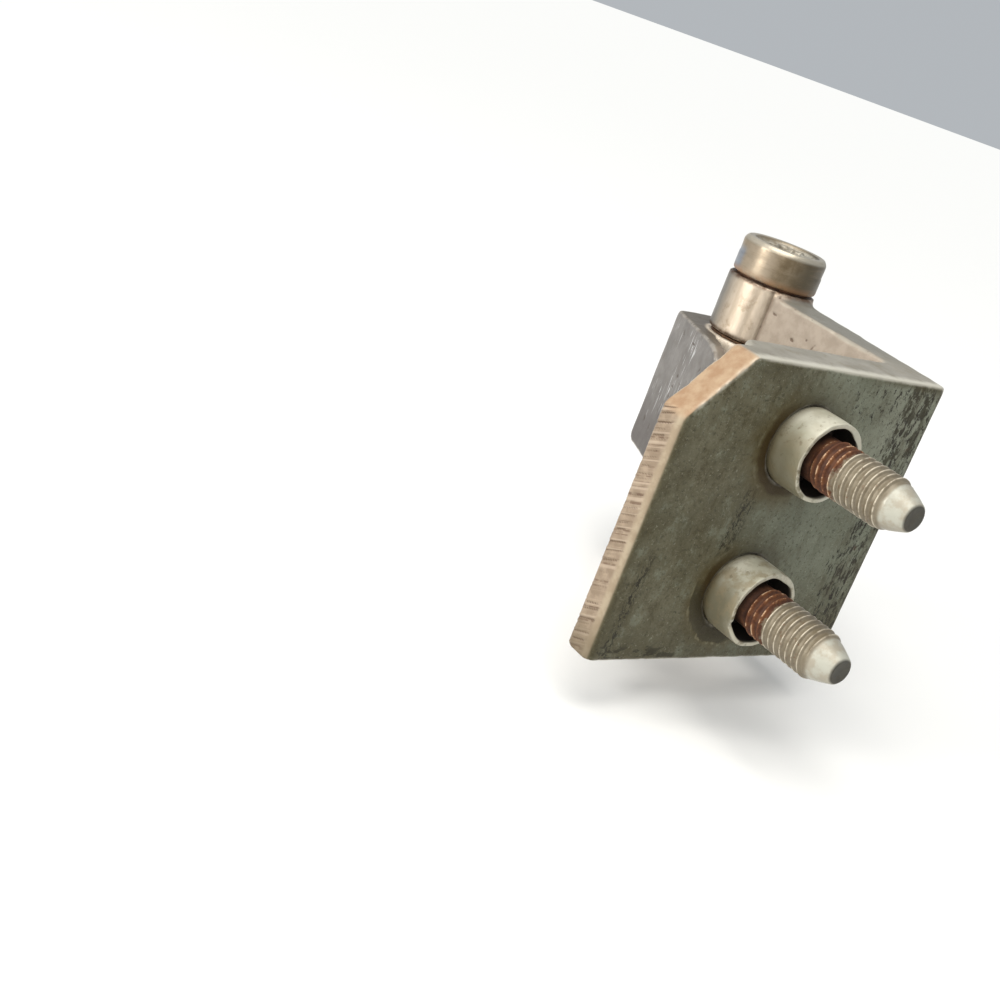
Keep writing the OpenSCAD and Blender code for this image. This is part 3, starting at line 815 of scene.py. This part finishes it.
def make_body():
    """The forging. The sawn edge, cut corner and web get smaller faces for their finer relief."""
    mesh = forged_mesh("body_leaf", 0.5, 10, 10.6)
    x, y, z = points_of(mesh).T
    on_edge = x < PLATE_LEFT + 1.2
    by_cut_corner = (z - x > 46.0) & (x < -15.0) & (y < 9.0)
    on_web = (x > 24.5) & (x < 28.2) & (y > 11.5) & (z > 4.0)
    refined(mesh, on_edge | by_cut_corner | on_web)

    points = points_of(mesh)
    normals = normals_of(mesh)
    pairs = edge_pairs(mesh)
    x, y, z = points.T
    reach = reach_from_pin(points)
    front = smoothstep(-normals[:, 1], 0.6, 0.85) * smoothstep(y, 1.3, 0.7)
    left_facing = smoothstep(-normals[:, 0], 0.1, 0.4)
    sawn = left_facing * smoothstep(x, -17.5, -19.0)
    knuckle = smoothstep(reach, KNUCKLE_R + 0.35, KNUCKLE_R + 0.1) * (y > PIN_Y - 9.0)
    web = left_facing * smoothstep(x, 20.0, 22.0) * smoothstep(y, LAND_Y, LAND_Y + 1.2)
    sawn_face = left_facing * smoothstep(x, PLATE_LEFT + 1.0, PLATE_LEFT + 0.4)

    marks = saw_marks(points, 5) * sawn_face
    scars = pits(points, 1.5, 0.42, 0.18, 3.0) * np.maximum(web * (1.0 - knuckle), 0.3 * sawn)
    face_scars = pits(points, 2.1, 0.46, 0.12, 7.0) * front * smoothstep(x, 16.0, 28.0)
    hammered = 0.10 * (noise_at(points, 7.0, 1.0) + 1.0) + 0.03 * (noise_at(points, 2.2, 2.0) + 1.0)
    hammered *= 1.0 - 0.7 * knuckle
    edge = np.zeros(len(points), np.float32)
    mesh.attributes["edge"].data.foreach_get("value", edge)
    chipped = smoothstep(edge, 0.08, 0.25) * np.clip(noise_at(points, 1.7, 4.0), 0.0, 1.0) * 0.25
    grooves = np.zeros(len(points))
    for groove_x, groove_y, width, deepest in FILLET_LINES:
        away = np.hypot(x - groove_x, y - groove_y) / width
        grooves += deepest * np.exp(-(away ** 2)) * smoothstep(z, SLOT_TOP - 0.5, SLOT_TOP + 0.5)
    hollow = marks + scars + face_scars + 0.25 * grooves
    depth = np.maximum(hollow + 0.75 * grooves + chipped + 0.6 * hammered + 0.06 * sawn_face, 0.0)
    move_to(mesh, points - normals * depth[:, None])
    store_softly(mesh, pairs, front=front, sawn=sawn, knuckle=knuckle, web=web)
    store(mesh, "hollow", hollow)
    finish_piece(mesh, "forged", "body_leaf", "body_leaf", body_material())


def distance_to_leg_end(points):
    """Distance in from the rounded end of the leg, seen from the side, in millimetres."""
    y = points[:, 1]
    from_middle = np.abs(points[:, 2] - BRACKET_MIDDLE)
    beyond = np.maximum(from_middle - (BRACKET_H / 2 - LEG_CORNER_R), 0.0)
    corner_y = LEG_FRONT_Y + LEG_CORNER_R
    short = np.maximum(corner_y - y, 0.0)
    in_corner = LEG_CORNER_R - np.hypot(short, beyond)
    return np.where(y < corner_y, in_corner, LEG_CORNER_R - beyond + (y - corner_y))


def make_door_leaf():
    """Barrel, leg and flange; "to_end" tells the paint how far it is from the leg's rounded end."""
    mesh = forged_mesh("door_leaf", 0.45, 9, 10.4)
    points = points_of(mesh)
    normals = normals_of(mesh)
    pairs = edge_pairs(mesh)
    reach = reach_from_pin(points)
    from_pin = points - np.array([PIN_X, PIN_Y, 0.0])
    to_end = distance_to_leg_end(points)
    leg = smoothstep(normals @ LEG_OUT, 0.75, 0.9) * smoothstep(from_pin @ LEG_OUT, 11.0, 12.4)
    barrel = smoothstep(reach, KNUCKLE_R + 0.4, KNUCKLE_R + 0.15)
    inside = smoothstep(-normals[:, 1], 0.55, 0.8) * smoothstep(points[:, 0], PIN_X + 9.0, PIN_X + 12.0)
    scars = pits(points, 1.8, 0.46, 0.14, 13.0) * (1.0 - barrel)
    hammered = 0.08 * (noise_at(points, 6.0, 11.0) + 1.0) * (1.0 - 0.8 * barrel)
    depth = scars + hammered
    move_to(mesh, points - normals * depth[:, None])
    store_softly(mesh, pairs, leg=leg, barrel=barrel, inside=inside)
    store(mesh, "to_end", to_end)
    store(mesh, "hollow", scars)
    finish_piece(mesh, "forged", "door_leaf", "door_leaf", door_material())


# ---------------- the turned pieces


def make_pin():
    """The headed pin; its recessed top has a socket that a tool has torn."""
    head_bottom = FORK_TOP + 0.5
    head_top = head_bottom + 7.8
    tail = FORK_BOTTOM - 8.0
    outline = softened([
        (0.0, tail + 0.15), (2.75, tail + 0.05), (PIN_R, tail + 5.0), (PIN_R, head_bottom - 0.02),
        (9.0, head_bottom), (9.25, head_bottom + 0.5), (9.25, head_top - 1.0), (8.6, head_top - 0.02),
        (7.3, head_top - 0.05), (6.6, head_top - 0.9), (5.4, head_top - 1.15), (0.0, head_top - 1.2)],
        0.45)
    profile = divided(outline, 0.45)

    def worn(radius, angle, height):
        if radius > 5.0 and height > head_top - 4.0:
            spot = Vector((radius * math.cos(angle), radius * math.sin(angle), height)) / 3.0
            radius -= 0.08 * (noise.noise(spot) + 1.0)
        return radius, height

    mesh = revolved("pin", profile, 128, on_pin, worn)
    points = points_of(mesh)
    dx = points[:, 0] - PIN_X
    dy = points[:, 1] - PIN_Y
    radius = np.hypot(dx, dy)
    angle = np.arctan2(dy, dx)
    top = smoothstep(points[:, 2], head_top - 1.6, head_top - 1.2) * smoothstep(radius, 6.9, 6.4)
    torn = 3.6 + 0.5 * np.cos(6 * angle) + 0.9 * noise_at(points * [1, 1, 0], 1.6, 21.0)
    torn += 1.5 * np.exp(-((angle + 2.2) / 0.4) ** 2) + 1.2 * np.exp(-((angle - 0.7) / 0.3) ** 2)
    socket = smoothstep(radius, torn + 0.35, torn - 0.35)
    lip = np.exp(-(((radius - torn - 0.6) / 0.5) ** 2)) * (0.5 + 0.7 * noise_at(points, 1.6, 23.0))
    depth = top * (2.4 * socket - 0.8 * np.clip(lip, 0.0, 1.0))
    points[:, 2] -= depth
    move_to(mesh, points)
    store(mesh, "hollow", depth)
    finish_piece(mesh, "turned", "hinge_pin", "body_leaf", pin_material())


def make_ring(kind, node, corners, segments, place, body, material, rounding, roughen):
    """A turned ring: a closed profile of (radius, height) corners with rounded edges."""
    count = len(corners)
    rounded = []
    for i in range(count):
        part = softened([corners[i - 1], corners[i], corners[(i + 1) % count]], rounding, 3)
        rounded.extend(part[1:-1])
    rounded.append(rounded[0])
    profile = divided(rounded, 1.2)
    profile[-1] = profile[0]

    def uneven(radius, angle, height):
        spot = Vector((radius * math.cos(angle), radius * math.sin(angle), height)) / 1.5
        return radius - roughen * (noise.noise(spot) + 1.0), height

    mesh = revolved(node, profile, segments, place, uneven)
    finish_piece(mesh, kind, node, body, material)


def flat_ring(inner, outer, low, high):
    """The corners of a plain washer's section."""
    return [(inner, low), (outer, low), (outer, high), (inner, high)]


def make_head_washer():
    corners = flat_ring(4.85, 8.25, FORK_TOP + 0.02, FORK_TOP + 0.48)
    material = simple_metal("rusty_washer", (110, 76, 52), (78, 54, 38), (46, 34, 26), 0.6, 0.2, 71)
    make_ring("rusty", "head_washer", corners, 96, on_pin, "body_leaf", material,
              0.12, 0.12)


def make_bushes():
    """Both bushes: face is the barrel's end, and way points out of the barrel."""
    outer = 6.0
    flange = 8.75
    material = simple_metal("bronze_bush", (104, 76, 48), (76, 54, 36), (44, 32, 24), 0.5, 0.5, 75)
    for node, face, way in (("bush_upper", 18.5, 1), ("bush_lower", -17.3, -1)):
        flange_top = face + way * 0.55
        flange_foot = face + way * 0.03
        inner_end = face - way * 12.95
        corners = [(BUSH_BORE_R, flange_top), (flange, flange_top), (flange, flange_foot),
                   (outer, flange_foot), (outer, inner_end), (BUSH_BORE_R, inner_end)]
        make_ring("turned", node, corners, 96, on_pin, "door_leaf", material,
                  0.1, 0.04)


def turned_from(angle, centre):
    """How far an angle lies from centre, from -pi to pi."""
    return (angle - centre + math.pi) % (2 * math.pi) - math.pi


def make_sleeve(which, material, nick_angle, nick_depth, sliver_angle):
    """A thin tube with a dented, burred rim. Angles are measured from +X towards +Z, in radians."""
    z = BOLT_HEIGHTS[which]
    start = (SLEEVE_BORE_R, SLEEVE_RIM_Y + 0.7)
    rim = SLEEVE_RIM_Y + 0.03
    face = -0.02
    tail_r = 7.5
    tail_end = 8.6
    outline = softened([
        start, (SLEEVE_BORE_R, rim), (SLEEVE_R, rim), (SLEEVE_R, face),
        (tail_r, face), (tail_r, tail_end), (SLEEVE_BORE_R, tail_end), start], 0.28)
    profile = divided(outline, 0.5)
    profile[-1] = profile[0]

    def dented(radius, angle, height):
        spot = Vector((math.cos(angle) * 2.2, math.sin(angle) * 2.2, z))
        near_rim = max(0.0, 1.0 - (height - SLEEVE_RIM_Y) / 2.5)
        height += near_rim * 0.16 * (noise.noise(spot * 1.7) + 0.9)
        height += near_rim * nick_depth * math.exp(-((turned_from(angle, nick_angle) / 0.12) ** 2))
        radius -= near_rim * 0.16 * (noise.noise(spot * 1.3 + Vector((5.0, 1.0, 0.0))) + 1.0) * 0.6
        if radius < 7.2:
            sliver = math.exp(-((turned_from(angle, sliver_angle) / 0.3) ** 2))
            radius -= near_rim ** 2 * 0.55 * sliver
        return radius, height

    mesh = revolved("sleeve", profile, 160, on_bolt(z), dented)
    points = points_of(mesh)
    radius = np.hypot(points[:, 0], points[:, 2] - z)
    normals = normals_of(mesh)
    outward = normals[:, 0] * points[:, 0] + normals[:, 2] * (points[:, 2] - z)
    outward /= np.maximum(radius, 0.1)
    store(mesh, "inner", smoothstep(-outward, 0.2, 0.7))
    store(mesh, "rim", smoothstep(-normals[:, 1], 0.5, 0.85) * smoothstep(points[:, 1], -5.5, -6.5))
    store(mesh, "side", (points[:, 2] - z) / SLEEVE_R)
    finish_piece(mesh, "thin", "sleeve_" + which, "body_leaf", material)


def make_retainer(which, material):
    """The dark ring between the sleeve and the bolt, with a sloping front."""
    inner, outer = 4.62, 6.85
    front, back = -0.98, 1.48
    corners = [(inner, -0.6), (5.2, front), (outer, front), (outer, back), (inner, back)]
    make_ring("snap", "retainer_" + which, corners, 96, on_bolt(BOLT_HEIGHTS[which]), "body_leaf",
              material, 0.25, 0.0)


def thread_profile(turns):
    """Height of the thread from root to crest, 0 to 1, at a place given in turns along the helix."""
    t = abs((turns % 1.0) - 0.5) * 2.0
    rise = min(max((t - 0.42) / 0.5, 0.0), 1.0)
    return rise * rise * (3.0 - 2.0 * rise)


def hexagon_at(height, angle, widest):
    """The head's radius: flats, with corners cut by a cone that narrows near the top."""
    sector = (angle - math.pi / 6) % (math.pi / 3) - math.pi / 6
    cone = 7.55 - max(0.0, height - SEAT - 7.9) * 1.15
    return min(FLATS_R / math.cos(sector), cone, widest)


def bolt_profile():
    """The bolt from its tip to its head, as (radius, height); the thread is at its widest."""
    tip = [(radius, BOLT_TIP + along)
           for radius, along in ((0.0, 0.3), (1.0, 0.24), (1.9, 0.06), (2.3, 0.03))]
    along = (0.0, 0.35, 1.2, 2.6, 3.8, 4.6, 5.4, 6.0)
    across = (2.2, 2.7, 3.1, 3.7, 4.15, 4.5, 5.0, 5.05)
    heights = np.arange(THREAD_LOW, THREAD_HIGH, 0.125)
    thread = list(zip(np.interp(heights - BOLT_TIP, along, across), heights))
    shank = divided([(SHANK_R, THREAD_START + 1.2), (SHANK_R, SEAT - 0.02)], 1.5)
    flange = softened([(SHANK_R, SEAT), (9.3, SEAT), (9.35, SEAT + 0.7), (8.9, SEAT + 1.5),
                       (6.9, SEAT + 2.3)], 0.25)
    uncut = 20.5
    head = divided([(uncut, HEAD_LOW), (uncut, SEAT + 8.4), (6.9, HEAD_HIGH)], 0.45)
    head_top = SEAT + 8.98
    dished = softened([(6.0, head_top), (4.6, head_top), (4.1, head_top - 0.43),
                       (0.0, head_top - 0.48)], 0.25)
    return tip + thread + shank + flange + head + dished


def make_bolt(which, rust_end, turn):
    """A flange bolt: hexagon head, plain shank, helical thread that runs out on a rounded point."""
    z = BOLT_HEIGHTS[which]

    def crest_at(height, angle):
        return thread_profile(height / PITCH + angle / (2 * math.pi) + turn)

    def shaped(radius, angle, height):
        if HEAD_LOW - 0.01 < height < HEAD_HIGH + 0.005:
            return hexagon_at(height, angle, radius), height
        if height > THREAD_HIGH or height < THREAD_LOW:
            return radius, height
        wear = noise.noise(Vector((math.cos(angle) * 2, math.sin(angle) * 2, height * 0.9 + z)))
        crest = crest_at(height, angle)
        painted = smoothstep(height, rust_end + 0.5, rust_end - 0.5)
        root = 4.2 + 0.22 * painted + 0.05 * wear
        top = 4.93 - 0.05 * abs(wear)
        fade = smoothstep(height, THREAD_END - 0.6, THREAD_END + 1.6)
        radius = min(root + (top - root) * crest, radius - 0.25 * (1 - crest) * fade)
        if height > THREAD_START:
            left = max(0.0, 1 - (height - THREAD_START) / 0.8)
            radius = min(radius, SHANK_R + (top - SHANK_R) * crest * left)
        return radius, height

    mesh = revolved("bolt", bolt_profile(), 96, on_bolt(z), shaped)
    points = points_of(mesh)
    height = points[:, 1]
    reach = np.hypot(points[:, 0], points[:, 2] - z)
    angle = np.arctan2(points[:, 2] - z, points[:, 0])
    crest = np.array([crest_at(h, a) for h, a in zip(height, angle)])
    fade = smoothstep(height, THREAD_END - 0.6, THREAD_END + 1.6)
    on_thread = (height > THREAD_LOW - 0.01) & (height < THREAD_HIGH)
    store(mesh, "crest", np.where(on_thread, 0.55 + (crest - 0.55) * fade, 0.5))
    store(mesh, "tip", (height < BOLT_TIP + 0.32) & (reach < 2.4))
    node = "bolt_" + which
    finish_piece(mesh, "threaded", node, node, bolt_material(rust_end))


def make_bolt_washer(which, material):
    corners = flat_ring(4.55, 9.9, LAND_Y + 0.02, SEAT - 0.05)
    make_ring("flat", "bolt_washer_" + which, corners, 112, on_bolt(BOLT_HEIGHTS[which]),
              "bolt_" + which, material, 0.4, 0.03)


make_body()
make_door_leaf()
make_pin()
make_head_washer()
make_bushes()
paint = sleeve_material()
make_sleeve("upper", paint, nick_angle=2.0, nick_depth=0.1, sliver_angle=0.92)
make_sleeve("lower", paint, nick_angle=-2.66, nick_depth=0.6, sliver_angle=1.2)
rubber = simple_metal("dark_retainer", (46, 38, 32), (30, 24, 20), (70, 50, 36), 0.6, 0.0, 81)
steel = simple_metal("worn_washer", (168, 164, 152), (132, 126, 112), (92, 78, 60), 0.38, 0.6, 85)
for side in BOLT_HEIGHTS:
    make_retainer(side, rubber)
    make_bolt_washer(side, steel)
make_bolt("upper", rust_end=-12.2, turn=0.35)
make_bolt("lower", rust_end=-11.6, turn=0.8)


# ---------------- floor, light and camera


def add_floor():
    """A wide pale floor just below the lowest point."""
    half = 30.0
    low = -0.0405
    mesh = bpy.data.meshes.new("floor")
    corners = [(-half, -half, low), (half, -half, low), (half, half, low), (-half, half, low)]
    mesh.from_pydata(corners, [], [(0, 1, 2, 3)])
    floor = add_object("floor", mesh)
    material = bpy.data.materials.new("pale_floor")
    material.use_nodes = True
    shader = material.node_tree.nodes["Principled BSDF"]
    shader.inputs["Base Color"].default_value = (0.86, 0.86, 0.85, 1)
    shader.inputs["Roughness"].default_value = 1.0
    shader.inputs["Specular IOR Level"].default_value = 0.0
    mesh.materials.append(material)


def add_lamp(kind, name, direction, distance, power):
    """A warm light that shines at the hinge from that direction."""
    light = bpy.data.lights.new(name, kind)
    light.energy = power
    light.color = (1.0, 0.97, 0.92)
    lamp = add_object(name, light)
    away = Vector(direction).normalized()
    lamp.location = Vector((0.01, 0.02, 0.0)) + away * distance
    lamp.rotation_euler = away.to_track_quat("Z", "Y").to_euler()
    return light


def add_panel(name, direction, distance, width, height, power):
    panel = add_lamp("AREA", name, direction, distance, power)
    panel.shape = "RECTANGLE"
    panel.size = width
    panel.size_y = height


def add_camera():
    """The photograph's viewpoint, given by where the camera stands and by its ahead and right."""
    camera = bpy.data.cameras.new("camera")
    camera.lens = 50.56
    camera.sensor_width = 36.0
    camera.clip_start = 0.01
    holder = add_object("camera", camera)
    ahead = Vector((0.619, 0.709, -0.339)).normalized()
    right = Vector((0.784, -0.530, 0.324))
    right = (right - ahead * right.dot(ahead)).normalized()
    up = right.cross(ahead)
    view = Matrix((right, up, -ahead)).transposed().to_4x4()
    view.translation = Vector((-0.1969, -0.1537, 0.0741))
    holder.matrix_world = view
    bpy.context.scene.camera = holder


def add_world():
    world = bpy.data.worlds.new("studio")
    world.use_nodes = True
    background = world.node_tree.nodes["Background"]
    background.inputs["Color"].default_value = (0.9, 0.95, 1.0, 1)
    background.inputs["Strength"].default_value = 0.5
    bpy.context.scene.world = world


bpy.context.scene.view_settings.view_transform = "Standard"
add_floor()
add_world()
sun = add_lamp("SUN", "window", (-0.28, -0.12, 0.95), 1.0, 2.25)
sun.angle = math.radians(50.0)
add_panel("key", (-0.82, -0.57, 0.55), 0.9, 0.45, 0.45, 1.6)
add_panel("strip", (-0.96, 0.24, 0.12), 0.6, 0.1, 0.6, 3.2)
add_camera()
